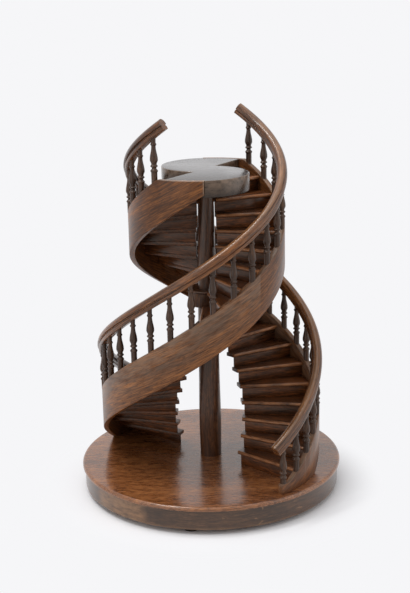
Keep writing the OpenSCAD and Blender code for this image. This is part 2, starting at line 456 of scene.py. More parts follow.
def plain_mesh(name: str, points: Array, faces: Faces, edges: Sequence[tuple[int, int]] = ()) -> bpy.types.Mesh:
    """Makes a mesh of points in metres, faces and loose edges.

    Args:
        name: Name of the mesh.
        points: The points, one row each.
        faces: Its faces, by the points' numbers.
        edges: Its loose edges, by the points' numbers.

    Returns:
        The mesh.
    """
    mesh = bpy.data.meshes.new(name)
    mesh.from_pydata(points.tolist(), edges, faces)
    return mesh


def linked(name: str, data: bpy.types.ID) -> bpy.types.Object:
    """Makes an object and links it to the scene.

    Args:
        name: Name of the object.
        data: Its mesh, lamp or camera.

    Returns:
        The object, at the origin.
    """
    made = bpy.data.objects.new(name, data)
    bpy.context.scene.collection.objects.link(made)
    return made


def write_number(mesh: bpy.types.Mesh, name: str, values: Array) -> None:
    """Writes one number for each point as a named attribute."""
    layer = mesh.attributes.new(name, "FLOAT", "POINT")
    layer.data.foreach_set("value", np.ascontiguousarray(values, dtype=np.float32))


def settled(owner: bpy.types.Object, modifier: bpy.types.Modifier) -> bpy.types.Mesh:
    """Turns an object's modifier into a plain mesh, and takes the modifier off.

    Args:
        owner: The object.
        modifier: Its modifier.

    Returns:
        The mesh that the modifier gives.
    """
    bpy.context.view_layer.update()
    graph = bpy.context.evaluated_depsgraph_get()
    mesh = bpy.data.meshes.new_from_object(owner.evaluated_get(graph))
    owner.modifiers.remove(modifier)
    return mesh


def finish_mesh(mesh: bpy.types.Mesh, name: str, sharp_deg: float) -> bpy.types.Object:
    """Merges doubles, turns faces outwards, shades smooth and links the piece.

    Args:
        mesh: The piece's mesh.
        name: Name of the piece.
        sharp_deg: Angle over which an edge stays sharp.

    Returns:
        The piece's object.
    """
    work = bmesh.new()
    work.from_mesh(mesh)
    bmesh.ops.remove_doubles(work, verts=work.verts, dist=MERGE)
    bmesh.ops.recalc_face_normals(work, faces=work.faces)
    work.to_mesh(mesh)
    work.free()
    mesh.polygons.foreach_set("use_smooth", np.ones(len(mesh.polygons), dtype=bool))
    mesh.set_sharp_from_angle(angle=math.radians(sharp_deg))
    mesh.update()
    return linked(name, mesh)


@dataclass
class Board:
    """One board or turned part, in millimetres, with the grain's place and the wear at each point."""

    points: Array
    faces: Faces
    grain: Array
    wear: Array | float = 0.0


def piece_of(name: str, boards: Sequence[Board], sharp_deg: float = 40.0) -> bpy.types.Object:
    """Makes one piece of its boards or turned parts.

    Args:
        name: Name of the piece.
        boards: Its boards.
        sharp_deg: Angle over which an edge stays sharp.

    Returns:
        The piece's object, at the origin, with its mesh in metres.
    """
    starts = np.cumsum([0] + [len(b.points) for b in boards]).tolist()
    faces = [tuple(i + start for i in face) for b, start in zip(boards, starts) for face in b.faces]
    mesh = plain_mesh(name, np.concatenate([b.points for b in boards]) * MM, faces)
    grain = np.concatenate([b.grain for b in boards]) * MM
    layer = mesh.attributes.new("grain", "FLOAT_VECTOR", "POINT")
    layer.data.foreach_set("vector", np.ascontiguousarray(grain, dtype=np.float32).ravel())
    write_number(mesh, "wear", np.concatenate([np.broadcast_to(b.wear, len(b.points)) for b in boards]))
    return finish_mesh(mesh, name, sharp_deg)


@dataclass(frozen=True)
class Streaks:
    """A pattern of streaks along the grain. Sizes in millimetres.

    The part of the pattern's range between low and high is spread from 0 to top.
    """

    along: float
    across: float
    detail: float
    low: float = 0.0
    high: float = 1.0
    top: float = 1.0
    roughness: float = 0.55
    distortion: float = 0.0

    def build(self, tree: bpy.types.NodeTree, place: Socket) -> Socket:
        """Adds the pattern to a material.

        Args:
            tree: The material's node tree.
            place: Place along and across the grain, in metres.

        Returns:
            The pattern's value.
        """
        fine = 1 / (self.across * MM)
        scaled = add_node(tree, "ShaderNodeMapping", {
            "Vector": place, "Scale": (1 / (self.along * MM), fine, fine)})
        noise = add_node(tree, "ShaderNodeTexNoise", {
            "Vector": scaled, "Scale": 1.0, "Detail": self.detail, "Roughness": self.roughness,
            "Distortion": self.distortion}, "Fac")
        return add_node(tree, RANGE, {
            "Value": noise, "From Min": self.low, "From Max": self.high, "To Min": 0.0, "To Max": self.top})


# Slow drift of the stain over a board: for a figure of 1 mm, scaled up by the finish
DRIFT = Streaks(along=2.5, across=0.5, detail=3.0, low=0.3, high=0.7, roughness=0.5, distortion=0.6)
# Fibres: fine long streaks, drawn about twice as wide as real ones so that they show. Each finish
# gives their size.
FIBRES = Streaks(along=1.0, across=1.0, detail=4.0, low=0.34, high=0.66, roughness=0.7)
# Slow waver of the growth rings along a board
WAVER = Streaks(along=60.0, across=16.0, detail=2.0)
# Pores: short dark dashes of open-grained wood, drawn wider than real ones so that they show
PORES = Streaks(along=6.5, across=1.3, detail=3.0, low=0.52, high=0.64, roughness=0.6)
# Hands and dusters rub the stain thin unevenly
RUBBING = Streaks(along=14.0, across=5.0, detail=3.0, low=0.26, high=0.6, top=0.9)
# Patches where the stain is scuffed off. Each finish gives their strength.
SCUFFS = Streaks(along=22.0, across=9.0, detail=4.0, low=0.64, high=0.72, roughness=0.6, distortion=1.2)


@dataclass(frozen=True)
class WoodFinish:
    """Stained and polished hardwood: its colours, grain sizes in millimetres and gloss.

    A spot's tone is its growth ring, its fibre and the board's slow figure, each by its share. It
    runs from the dark colour to the light one.
    """

    name: str
    dark: str
    mid: str
    light: str
    worn: str
    # Growth rings: their spacing, their lean into the board, their waver in rings, and how sharply each ends
    ring_mm: float = 2.4
    ring_lean: float = 0.6
    ring_waver: float = 5.0
    ring_edge: float = 1.8
    fibre_mm: float = 1.4
    fibre_long_mm: float = 17.0
    # Pores: how much they darken the wood, and their depth beside the fibres'
    pore_share: float = 0.6
    pore_depth: float = 0.8
    figure_mm: float = 38.0
    ring_share: float = 0.14
    fibre_share: float = 0.5
    # Tones at which the dark, the middle and the light colour stand
    tone_stops: tuple[float, float, float] = (0.08, 0.46, 0.86)
    ior: float = 1.5
    # The tone of fibre and figure together at which the polish is smoothest, and dullest
    gloss_tones: tuple[float, float] = (0.4, 1.6)
    roughness: tuple[float, float] = (0.3, 0.46)
    worn_roughness: float = 0.12
    coat: float = 0.35
    coat_roughness: float = 0.16
    coat_ior: float = 1.5
    specular: float = 0.4
    sheen_tint: str = "#ffeede"
    bump_mm: float = 0.05
    bump_strength: float = 0.6
    scuffs: float = 0.0

    def build(self) -> bpy.types.Material:
        """Makes the material.

        Returns:
            A material that reads the grain and wear attributes of a piece.
        """
        material = bpy.data.materials.new(self.name)
        material.use_nodes = True
        tree = material.node_tree
        tree.nodes.clear()
        add = partial(add_node, tree)
        place = add("ShaderNodeAttribute", output="Vector", attribute_name="grain")
        wear = add("ShaderNodeAttribute", output="Fac", attribute_name="wear")
        drift = replace(DRIFT, along=DRIFT.along * self.figure_mm, across=DRIFT.across * self.figure_mm)
        fibres = replace(FIBRES, along=self.fibre_long_mm, across=self.fibre_mm)
        figure, fibre, waver, pore, rub = (
            streaks.build(tree, place) for streaks in (drift, fibres, WAVER, PORES, RUBBING))

        # Growth rings cut along the board: wavering lines a few millimetres apart
        _, across, depth = add(SPLIT, (place,)).node.outputs
        per_ring = 1 / (self.ring_mm * MM)
        phase = tone = 0.0
        for part, share in ((across, per_ring), (depth, self.ring_lean * per_ring), (waver, self.ring_waver)):
            phase = add(MATH, (part, share, phase), operation="MULTIPLY_ADD")
        ring = add(MATH, (add(MATH, (phase,), operation="FRACT"), self.ring_edge), operation="POWER")
        figure_share = 1.0 - self.ring_share - self.fibre_share
        for part, share in ((ring, self.ring_share), (fibre, self.fibre_share), (figure, figure_share)):
            tone = add(MATH, (part, share, tone), operation="MULTIPLY_ADD")
        ramp = add("ShaderNodeValToRGB", {"Fac": tone}, "Color")
        stops = ramp.node.color_ramp.elements
        low, middle, high = self.tone_stops
        stops[0].position, stops[0].color = low, linear(self.dark)
        stops[1].position, stops[1].color = high, linear(self.light)
        stops.new(middle).color = linear(self.mid)
        dashes = add(MATH, (pore, self.pore_share), operation="MULTIPLY")
        stained = add(MIX, {"Factor": dashes, "A": ramp, "B": linear(self.dark)}, data_type="RGBA")

        # Wear: the stain is rubbed thin on edges, and scuffed off in patches where a finish has them
        worn = add(MATH, (wear, rub), operation="MULTIPLY")
        if self.scuffs:
            patches = replace(SCUFFS, top=self.scuffs).build(tree, place)
            worn = add(MATH, (worn, patches), operation="MAXIMUM")
        colour = add(MIX, {"Factor": worn, "A": stained, "B": linear(self.worn)}, data_type="RGBA")

        # The polish is duller over open fibres and where it is worn
        (tone_low, tone_high), (smooth, rough) = self.gloss_tones, self.roughness
        gloss = add(RANGE, {"Value": add(MATH, (fibre, figure), operation="ADD"), "From Min": tone_low,
                            "From Max": tone_high, "To Min": smooth, "To Max": rough})
        gloss = add(MATH, (worn, self.worn_roughness, gloss), operation="MULTIPLY_ADD")
        height = add(MATH, (pore, -self.pore_depth, fibre), operation="MULTIPLY_ADD")
        bump = add("ShaderNodeBump", {
            "Strength": self.bump_strength, "Distance": self.bump_mm * MM, "Height": height})
        shader = add("ShaderNodeBsdfPrincipled", {
            "Base Color": colour, "Roughness": gloss, "Normal": bump, "IOR": self.ior,
            "Specular IOR Level": self.specular, "Specular Tint": linear(self.sheen_tint),
            "Coat Weight": self.coat, "Coat Roughness": self.coat_roughness, "Coat IOR": self.coat_ior})
        add("ShaderNodeOutputMaterial", {"Surface": shader})
        return material


# Mahogany, stained red-brown and polished to a gloss: a warm board that mirrors what stands on it
BASE_WOOD = WoodFinish(
    "stained_mahogany_polished",
    dark="#371b0e", mid="#7c4a28", light="#b07343", worn="#9a6f50",
    ring_mm=4.0, fibre_mm=1.6, fibre_long_mm=12.0, pore_share=0.75, figure_mm=60.0,
    roughness=(0.22, 0.33), coat=0.6, coat_roughness=0.16, scuffs=0.35)
# The same wood bent round as a band and stained darker: a grey sheen, with pale scuffs
DRUM_WOOD = WoodFinish(
    "stained_mahogany_bent_band",
    dark="#21120b", mid="#412919", light="#6a4830", worn="#a07753",
    fibre_mm=1.6, figure_mm=50.0, roughness=(0.28, 0.4), coat=0.5, specular=0.5, scuffs=0.5)
# Walnut boards, bent and waxed: long streaks that follow the slope, with little gloss
STRING_WOOD = WoodFinish(
    "stained_walnut_bent_board",
    dark="#23110a", mid="#5e371b", light="#985f30", worn="#8f7a68",
    roughness=(0.34, 0.48), coat=0.3, coat_roughness=0.22, coat_ior=1.38, specular=0.25)
# Walnut moulding, rubbed by hands: paler along its crown, as wear and as a painted highlight
RAIL_WOOD = WoodFinish(
    "stained_walnut_moulded",
    dark="#1c0e06", mid="#4f2c14", light="#8a5529", worn="#9c7048",
    ring_mm=2.0, fibre_mm=1.0, roughness=(0.24, 0.34), coat=0.5, coat_roughness=0.18, coat_ior=1.42,
    specular=0.32)
# Turned walnut, which drinks more stain: darker than the rail, with fine grain
BALUSTER_WOOD = WoodFinish(
    "stained_walnut_turned",
    dark="#1a100a", mid="#38241a", light="#593d2a", worn="#6c5642",
    ring_mm=1.6, fibre_mm=1.0, figure_mm=20.0, roughness=(0.32, 0.44), coat=0.2, specular=0.3)
# Thin walnut step boards: dark, with the stain worn to warm wood along the nosings, where the pale colour also
# paints their highlight
STEP_WOOD = WoodFinish(
    "stained_walnut_step_board",
    dark="#1b0e08", mid="#472712", light="#824a25", worn="#bd7f52",
    roughness=(0.26, 0.4), coat=0.25, coat_roughness=0.2, coat_ior=1.42, specular=0.3)
# The landing's thick wax mirrors the pale room at a low angle, and leaves its upright edge dark
LANDING_WOOD = WoodFinish(
    "stained_walnut_landing_board",
    dark="#0e0805", mid="#1c110b", light="#322317", worn="#87705d",
    ring_mm=3.0, roughness=(0.22, 0.32), coat=0.75, coat_roughness=0.2, coat_ior=1.33, specular=0.3)
# Turned walnut column: dark upright streaks under a thin polish
COLUMN_WOOD = WoodFinish(
    "stained_walnut_column",
    dark="#1d0f08", mid="#482916", light="#74492a", worn="#7d5f49",
    roughness=(0.28, 0.42), coat=0.3, specular=0.3)
# Beech feet, nearly black and dull, lost in the shade under the base
FOOT_WOOD = WoodFinish(
    "ebonised_beech_foot",
    dark="#0b0706", mid="#17100c", light="#261b15", worn="#4a3c32",
    roughness=(0.4, 0.55), coat=0.1, specular=0.3)


class Workshop:
    """Hands out finished materials, and puts pieces on the body."""

    def __init__(self) -> None:
        """Starts with no material made."""
        self.made: dict[str, bpy.types.Material] = {}

    def material(self, finish: WoodFinish) -> bpy.types.Material:
        """Gives a finish's material, made once.

        Args:
            finish: The finish.

        Returns:
            Its material.
        """
        if finish.name not in self.made:
            self.made[finish.name] = finish.build()
        return self.made[finish.name]

    def place(self, piece: bpy.types.Object, finish: WoodFinish, slot: str, nodes: Sequence[str]) -> None:
        """Dresses a piece, and lets it stand for its solids.

        Args:
            piece: The piece.
            finish: Its wood.
            slot: The record's slot that its finish comes from; not used.
            nodes: The solids that it stands for.
        """
        piece.data.materials.clear()
        piece.data.materials.append(self.material(finish))
        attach(piece, BODY)
        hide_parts(*nodes)
        log.info("%s: %d faces, for %s", piece.name, len(piece.data.polygons), ", ".join(nodes))


def line_object(points: Array, numbers: dict[str, Array], closed: bool = False) -> bpy.types.Object:
    """Makes a line of edges that a node tree turns into a curve.

    Args:
        points: The points in millimetres.
        numbers: Lengths in millimetres at each point, by attribute name.
        closed: Whether the line closes.

    Returns:
        The object, linked to the scene, in metres.
    """
    count = len(points)
    edges = [(i, (i + 1) % count) for i in range(count if closed else count - 1)]
    mesh = plain_mesh("line", points * MM, [], edges)
    for name, values in numbers.items():
        write_number(mesh, name, values * MM)
    return linked("line", mesh)


def section_object(outline: Outline, turned_round: bool) -> bpy.types.Object:
    """Makes a section that a node tree sweeps along a line.

    Args:
        outline: The section's points: across, and up from its underside.
        turned_round: Whether the section is drawn turned half round.

    Returns:
        The section as a closed line that knows each point's place across and up.
    """
    flat = np.array(outline)
    drawn = -flat if turned_round else flat
    return line_object(np.column_stack([drawn, np.zeros(len(flat))]),
                       {"across": flat[:, 0], "up": flat[:, 1]}, closed=True)


def flight_line(plan: StairPlan, flight: Flight, start: float, end: float, piece: float, level: float = 0.0,
                slope: float = 0.0) -> bpy.types.Object:
    """Makes a line along the middle of a flight's string.

    Args:
        plan: The staircase's plan.
        flight: The flight.
        start: Run of the line's first point.
        end: Run of its last point.
        piece: Longest run between two points.
        level: Height of the line at the first riser.
        slope: Climb of the line for its run.

    Returns:
        The line, which knows the run at each point.
    """
    runs, points = plan.path(start, end, piece)
    placed = rotated(np.column_stack([points, level + slope * runs]), plan.azimuth(flight), 0.0)
    return line_object(placed, {"run": runs})


class PathTree:
    """A Geometry Nodes tree that starts from a line of edges and ends in a plain mesh."""

    def __init__(self, name: str, sizes: dict[str, str]) -> None:
        """Starts the tree.

        Args:
            name: Name of the tree.
            sizes: Socket type of each named input after the line.
        """
        self.tree = bpy.data.node_groups.new(name, "GeometryNodeTree")
        face = self.tree.interface
        face.new_socket("Line", in_out="INPUT", socket_type="NodeSocketGeometry")
        self.ids = {key: face.new_socket(key, in_out="INPUT", socket_type=kind).identifier
                    for key, kind in sizes.items()}
        face.new_socket("Mesh", in_out="OUTPUT", socket_type="NodeSocketGeometry")
        self.start = self.tree.nodes.new("NodeGroupInput")
        self.add = partial(add_node, self.tree)

    def given(self, name: str) -> Socket:
        """Gives a named input."""
        return self.start.outputs[name]

    def swept(self) -> Socket:
        """Sweeps the section given as an object along the line, its ends closed, upright throughout.

        Returns:
            The swept geometry.
        """
        line = self.add(TO_CURVE, {"Mesh": self.given("Line")})
        line = self.add("GeometryNodeSetCurveNormal", {"Curve": line}, mode="Z_UP")
        drawn = self.add("GeometryNodeObjectInfo", {"Object": self.given("Section")}, "Geometry")
        section = self.add(TO_CURVE, {"Mesh": drawn})
        return self.add("GeometryNodeCurveToMesh", {"Curve": line, "Profile Curve": section, "Fill Caps": True})

    def top_edge(self, run: Socket) -> tuple[Socket, Socket]:
        """Finds the level of a string's top edge.

        Args:
            run: Run at which it is wanted.

        Returns:
            The level of the slope, and that level kept between the foot's and the head's.
        """
        slope = self.add(MATH, (run, self.given("Slope"), self.given("Start level")), operation="MULTIPLY_ADD")
        kept = self.add(MATH, (slope, self.given("Foot level")), operation="MAXIMUM")
        return slope, self.add(MATH, (kept, self.given("Head level")), operation="MINIMUM")

    def close(self, geometry: Socket, grain: Sequence[Socket], wear: Socket | float,
              level: Socket | None = None) -> None:
        """Ends the tree with the wood's attributes, realized instances and the material.

        Args:
            geometry: What the tree has made.
            grain: Distance along the grain, and two across it.
            wear: Wear of each point.
            level: New level of each point over the base, or None to leave the points.
        """
        place = self.add(JOIN, grain)
        for name, value, kind in (("grain", place, "FLOAT_VECTOR"), ("wear", wear, "FLOAT")):
            geometry = self.add(STORE, {"Geometry": geometry, "Name": name, "Value": value}, data_type=kind,
                                domain="POINT")
        if level is not None:
            x, y, _ = self.add(SPLIT, (self.add(PLACE),)).node.outputs
            height = self.add(MATH, (level, self.given("Base level")), operation="ADD")
            moved = self.add(JOIN, (x, y, height))
            geometry = self.add("GeometryNodeSetPosition", {"Geometry": geometry, "Position": moved})
        geometry = self.add(REALIZE, {"Geometry": geometry})
        geometry = self.add("GeometryNodeSetMaterial", {
            "Geometry": geometry, "Material": self.given("Material")})
        self.add("NodeGroupOutput", (geometry,))

    def run(self, line: bpy.types.Object, sizes: dict, name: str, sharp_deg: float) -> bpy.types.Object:
        """Runs the tree on a line, and makes its result a plain mesh.

        Args:
            line: The line of edges, removed afterwards.
            sizes: Value of each named input.
            name: Name of the finished piece.
            sharp_deg: Angle over which an edge stays sharp.

        Returns:
            The finished piece.
        """
        modifier = line.modifiers.new(self.tree.name, "NODES")
        modifier.node_group = self.tree
        for key, value in sizes.items():
            modifier[self.ids[key]] = value
        mesh = settled(line, modifier)
        mesh.name = name
        bpy.data.objects.remove(line)
        return finish_mesh(mesh, name, sharp_deg)


@dataclass
class Base:
    """Round base: a cap with a rounded edge over a drum, on three small feet. Sizes in millimetres."""

    shop: Workshop
    radius: float = 160.5
    cap_t: float = 5.0
    cap_edge_r: float = 3.2
    cap_edge_pieces: int = 10
    cap_lip_r: float = 0.8
    cap_lip_pieces: int = 4
    # Shares of the radius at which the cap's top has rings
    cap_rings: tuple[float, ...] = (0.9, 0.7, 0.5, 0.3, 0.1)
    # Wear of the rim, and the share of the rounding inside the rim that it reaches over
    cap_wear: float = 0.45
    cap_wear_reach: float = 0.6
    cap_seed: float = 1.0
    drum_h: float = 24.0
    drum_inset: float = 3.0
    drum_edge_r: float = 1.2
    drum_edge_pieces: int = 5
    # Shares of the height at which the drum's side has rings
    drum_rings: tuple[float, ...] = (0.15, 0.5, 1.0)
    # Wear of the lower edge, and how many times the rounding it reaches up
    drum_wear: float = 0.6
    drum_wear_reach: float = 2.5
    # Share of the radius at which an underside's flat ends
    under_share: float = 0.9
    # A patch on the drum's front left, drawn paler: rubbed stain, and painted light of the side that the light
    # falls on. Its angle left of the front, half its spread and its fade, in degrees
    rubbed_az: float = 44.0
    rubbed_spread: float = 16.0
    rubbed_fade: float = 4.0
    rubbed_wear: float = 0.7
    foot_h: float = 6.0
    foot_r: float = 9.0
    foot_ease: float = 1.0
    foot_ease_pieces: int = 4
    foot_under_share: float = 0.6
    foot_circle_r: float = 141.0
    foot_count: int = 3
    foot_az: float = 260.0
    foot_segments: int = 48
    foot_seed: float = 3.0
    segments: int = 256

    def build(self) -> None:
        """Makes the cap, the drum and the feet."""
        self.cap()
        self.drum()
        self.feet()

    def bent_grain(self, points: Array) -> Array:
        """Gives the grain of a band bent round the rim, joined at the back.

        Args:
            points: Points of the band.

        Returns:
            Distance round the rim, height and distance from the axis, for each point.
        """
        x, y, z = points.T
        around = np.arctan2(x, -y)
        return np.stack([around * self.radius, z, np.hypot(x, y)], -1)

    def cap(self) -> None:
        """Makes the cap, its upper edge rounded and its lower edge eased."""
        low = self.foot_h + self.drum_h
        top = low + self.cap_t
        lip = eased_foot(self.radius, low, self.cap_lip_r, self.cap_lip_pieces)
        edge = [(self.radius - self.cap_edge_r + x, top - self.cap_edge_r + y)
                for x, y in rounded_corner(self.cap_edge_r, self.cap_edge_pieces)]
        rings = [(self.radius * share, top) for share in self.cap_rings]
        points, faces = lathe([(self.radius * self.under_share, low), *lip, *edge, *rings], self.segments)
        reach = np.hypot(points[:, 0], points[:, 1])
        past = (reach - self.radius) / self.cap_edge_r + self.cap_wear_reach
        wear = np.clip(past, 0, 1) * self.cap_wear
        board = Board(points, faces, grain_of(points, GrainAxis.ALONG_X, self.cap_seed), wear)
        self.shop.place(piece_of("polished_base_cap", [board]), BASE_WOOD, "base", ["base_cap"])

    def drum(self) -> None:
        """Makes the drum, its lower edge eased, and paler on its front left: rubbed stain and painted light."""
        r = self.radius - self.drum_inset
        edge = eased_foot(r, self.foot_h, self.drum_edge_r, self.drum_edge_pieces)
        side = [(r, self.foot_h + self.drum_h * share) for share in self.drum_rings]
        points, faces = lathe([(r * self.under_share, self.foot_h), *edge, *side], self.segments)
        x, y, z = points.T
        worn_h = self.drum_edge_r * self.drum_wear_reach
        worn = np.clip(1 - (z - self.foot_h) / worn_h, 0, 1) * self.drum_wear
        # Paler patch on the front left: rubbed stain, and painted light on the drum's lit side
        away = np.abs(np.degrees(np.arctan2(x, -y)) + self.rubbed_az)
        rubbed = np.clip((self.rubbed_spread - away) / self.rubbed_fade, 0, 1) * self.rubbed_wear
        board = Board(points, faces, self.bent_grain(points), np.maximum(worn, rubbed))
        self.shop.place(piece_of("polished_base_drum", [board]), DRUM_WOOD, "base", ["base_drum"])

    def feet(self) -> None:
        """Makes the small feet, eased at the floor."""
        edge = eased_foot(self.foot_r, 0.0, self.foot_ease, self.foot_ease_pieces)
        outline = [(self.foot_r * self.foot_under_share, 0.0), *edge, (self.foot_r, self.foot_h)]
        points, faces = lathe(outline, self.foot_segments)
        boards = []
        for i in range(self.foot_count):
            at = polar(self.foot_circle_r, self.foot_az + 360 * i / self.foot_count)
            grain = grain_of(points, GrainAxis.UPRIGHT, self.foot_seed + i)
            boards.append(Board(points + np.array([*at, 0.0]), faces, grain))
        self.shop.place(piece_of("small_feet", boards), FOOT_WOOD, "feet", ["base_feet"])


@dataclass
class Column:
    """Turned centre column with a collar at half height, thinner at the top. Sizes in millimetres."""

    shop: Workshop
    plan: StairPlan
    landing_t: float
    radius: float = 13.6
    head_radius: float = 9.6
    # Share of the height and of the radius at each key under the head
    keys: tuple[tuple[float, float], ...] = ((0.0, 0.96), (0.12, 1.0), (0.35, 0.93))
    key_pieces: int = 10
    collar_h: float = 21.0
    collar_plate_t: float = 4.0
    collar_ease: float = 0.7
    collar_ease_pieces: int = 4
    plate_points: int = 11
    segments: int = 96
    grain_seed: float = 5.0

    def collar(self) -> Outline:
        """Gives the collar's outline: a plain drum under a plate with a rounded edge.

        Returns:
            Radius and height of each point, from the bottom up.
        """
        plan = self.plan
        top, half = plan.rise * plan.collar_step, self.collar_plate_t / 2
        drum = eased_foot(plan.collar_r, top - self.collar_h, self.collar_ease, self.collar_ease_pieces)
        plate = [(plan.collar_r + plan.collar_over * math.cos(t), top - half + half * math.sin(t))
                 for t in np.linspace(-math.pi / 2, math.pi / 2, self.plate_points)]
        return drum + plate

    def build(self) -> None:
        """Makes the column between the base and the landing, in one turning with its collar."""
        height = self.plan.rise_total - self.landing_t
        keys = [(height * up, self.radius * share) for up, share in self.keys]
        shaft = turned([*keys, (height, self.head_radius)], self.key_pieces)
        collar = self.collar()
        low, high = collar[0][1], collar[-1][1]
        at_low, at_high = np.interp([low, high], [z for _, z in shaft], [r for r, _ in shaft])
        outline = [p for p in shaft if p[1] < low] + [(at_low, low)] + collar + [(at_high, high)]
        outline += [p for p in shaft if p[1] > high]
        points, faces = lathe(outline, self.segments)
        points = points + np.array([0.0, 0.0, self.plan.base_z])
        board = Board(points, faces, grain_of(points, GrainAxis.UPRIGHT, self.grain_seed))
        self.shop.place(piece_of("turned_column", [board]), COLUMN_WOOD, "column", ["centre_column"])


@dataclass
class Landing:
    """S-shaped landing board of two round lobes. Sizes in millimetres."""

    shop: Workshop
    plan: StairPlan
    thickness: float = 19.5
    lobe_r: float = 54.0
    lobe_offset: float = 31.0
    lobe_turn: float = 28.0
    lobe_points: int = 64
    tail_points: int = 24
    edge_r: float = 0.9
    edge_strips: int = 3
    edge_wear: float = 0.8
    # Allowance with which the points of the upper rounding are picked out
    edge_slack: float = 0.02
    grain_seed: float = 7.0
    sharp_deg: float = 35.0

    def lobe_reach(self, centre_turn: float, turn: float, gap: float = 0.0) -> float:
        """Gives how far a lobe reaches from the axis in a direction.

        Args:
            centre_turn: Turn of the lobe's centre, in degrees.
            turn: The direction, in degrees.
            gap: Gap that is kept round the lobe.

        Returns:
            The distance from the axis to the lobe's edge.
        """
        off = math.radians(turn - centre_turn)
        across = self.lobe_offset * math.sin(off)
        return self.lobe_offset * math.cos(off) + math.sqrt((self.lobe_r + gap) ** 2 - across ** 2)

    def half(self, start: float, spread: float) -> list[Array]:
        """Gives the outline of one half, from its arrival edge to the other half's.

        Args:
            start: Turn of the half's arrival edge.
            spread: Turn from there to the other half's arrival edge.

        Returns:
            Points in plan, in order.
        """
        plan = self.plan
        shift = start - plan.flight_turn
        first = plan.end_turn + shift + math.degrees(plan.step_gap / plan.mid_head)
        tail = np.linspace(plan.flight_turn, plan.end_turn, self.tail_points)
        lobe = np.linspace(first, start + spread, self.lobe_points)
        points = [polar(plan.step_r(t), t + shift) for t in tail]
        return points + [polar(self.lobe_reach(start + self.lobe_turn, t), t) for t in lobe]

    def build(self) -> None:
        """Makes the landing with eased edges, worn along the upper one."""
        plan = self.plan
        start, top = plan.flight_turn, plan.rise_total
        outline = self.half(start, plan.flight_apart)
        outline += self.half(start + plan.flight_apart, 360 - plan.flight_apart)
        points, faces = bevelled(*prism(outline, top - self.thickness, top), self.edge_r, self.edge_strips)
        points = rotated(points, plan.first_az, plan.base_z)
        under_top = plan.base_z + top - points[:, 2]
        on_edge = (under_top > self.edge_slack) & (under_top < self.edge_r + self.edge_slack)
        wear = np.where(on_edge, self.edge_wear, 0.0)
        board = Board(points, faces, grain_of(points, GrainAxis.ALONG_X, self.grain_seed), wear)
        piece = piece_of("s_landing", [board], self.sharp_deg)
        self.shop.place(piece, LANDING_WOOD, "landing", ["top_landing"])


@dataclass
class Strings:
    """Outer strings: upright boards bent along the spiral. Sizes in millimetres."""

    shop: Workshop
    plan: StairPlan
    edge_r: float = 0.8
    corner_pieces: int = 3
    # Longest run between two points of the line
    piece: float = 2.0
    # Height of the section as it is drawn, before its edges are moved to the slope
    section_h: float = 8.0
    edge_wear: float = 0.5
    # Share of the slope that the grain follows
    grain_slope: float = 0.8
    sharp_deg: float = 35.0

    def section(self) -> bpy.types.Object:
        """Makes the board's section, with eased corners.

        Returns:
            The section, as a closed line.
        """
        w, h, r = self.plan.string_t / 2, self.section_h, self.edge_r
        corner = rounded_corner(r, self.corner_pieces)
        points = [(w - r + x, h - r + y) for x, y in corner]
        points += [(-w + r - x, h - r + y) for x, y in reversed(corner)]
        points += [(-w + r - x, r - y) for x, y in corner]
        points += [(w - r + x, r - y) for x, y in reversed(corner)]
        return section_object(points, turned_round=False)

    def tree(self) -> PathTree:
        """Builds the tree that bends a board along the path and cuts its edges to the slope.

        Returns:
            The tree.
        """
        lengths = ("Section height", "Board height", "End run", *self.plan.levels)
        made = PathTree("bent_board", {
            **dict.fromkeys(lengths, NUMBER), "Section": OBJECT, "Material": MATERIAL})
        add = made.add
        run, across, up = (add(NAMED, {"Name": name}, data_type="FLOAT") for name in ("run", "across", "up"))
        edge, top = made.top_edge(run)
        tall = made.given("Section height")
        under = add(MATH, (edge, made.given("Board height")), operation="SUBTRACT")
        under = add(MATH, (under, 0.0), operation="MAXIMUM")
        from_top = add(MATH, (top, add(MATH, (up, tall), operation="SUBTRACT")), operation="ADD")
        from_under = add(MATH, (under, up), operation="ADD")
        is_top = add(MATH, (up, add(MATH, (tall, 0.5), operation="MULTIPLY")), operation="GREATER_THAN")
        level = add(MIX, {"Factor": is_top, "A": from_under, "B": from_top})
        upright = add(MATH, (edge, -self.grain_slope, level), operation="MULTIPLY_ADD")
        below = add(MATH, (add(MATH, (level, top), operation="SUBTRACT"),), operation="ABSOLUTE")
        corner = add(MATH, (below, self.edge_r * MM), operation="LESS_THAN")
        # The cut end at the landing shows paler end grain
        end = add(MATH, (run, made.given("End run")), operation="GREATER_THAN")
        rubbed = add(MATH, (corner, self.edge_wear), operation="MULTIPLY")
        wear = add(MATH, (rubbed, end), operation="MAXIMUM")
        made.close(made.swept(), (run, upright, across), wear, level)
        return made

    def build(self) -> None:
        """Makes both strings."""
        plan = self.plan
        made = self.tree()
        section = self.section()
        for flight in Flight:
            line = flight_line(plan, flight, -plan.string_lead, plan.end_run, self.piece)
            piece = made.run(line, {
                "Section": section, "Section height": self.section_h * MM, "Board height": plan.string_h * MM,
                "End run": (plan.end_run - self.piece / 2) * MM, **plan.levels,
                "Material": self.shop.material(STRING_WOOD)}, f"bent_string_{flight.letter}", self.sharp_deg)
            self.shop.place(piece, STRING_WOOD, "string", [f"string_{flight.letter}"])
        bpy.data.objects.remove(section)


